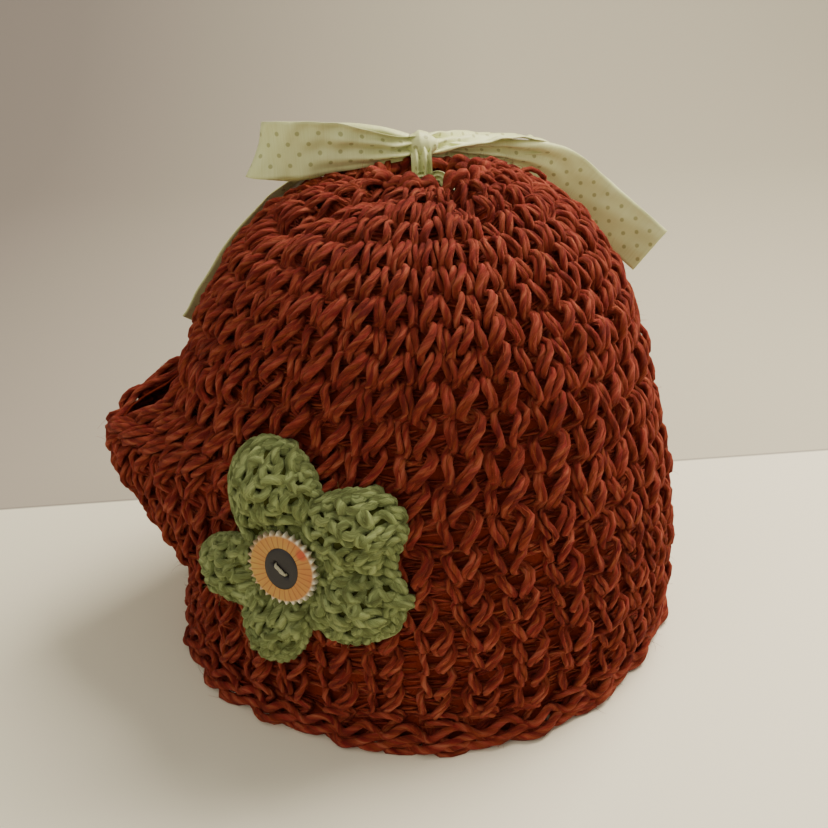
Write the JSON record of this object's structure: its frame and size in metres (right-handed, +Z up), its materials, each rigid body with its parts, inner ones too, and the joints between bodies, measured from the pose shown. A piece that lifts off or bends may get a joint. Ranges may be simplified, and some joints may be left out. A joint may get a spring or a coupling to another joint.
{
  "type": "tea cosy",
  "caption": "Hollow knitted tea cosy with spout opening, handle slit, drawn-in neck with ribbon bow, and a flower with a sunflower button on the front.",
  "frame": {"origin": "centre of the footprint of the whole part, on the surface it stands on", "axes": "+Z up; +X towards the handle slit, -X towards the spout opening; the front with the flower faces -Y"},
  "size_m": [0.2056, 0.1888, 0.1792],
  "materials": {
    "rust_yarn": "chunky plied wool, loose stockinette",
    "green_yarn": "plied wool, tight textured knit",
    "button_print": "printed sunflower, satin",
    "spotted_satin": "satin ribbon with small darker dots"
  },
  "bodies": {
    "root": {"front_panel": "rust_yarn", "back_panel": "rust_yarn", "flower": "green_yarn", "button": "button_print", "ribbon": "spotted_satin"}
  },
  "joints": []
}
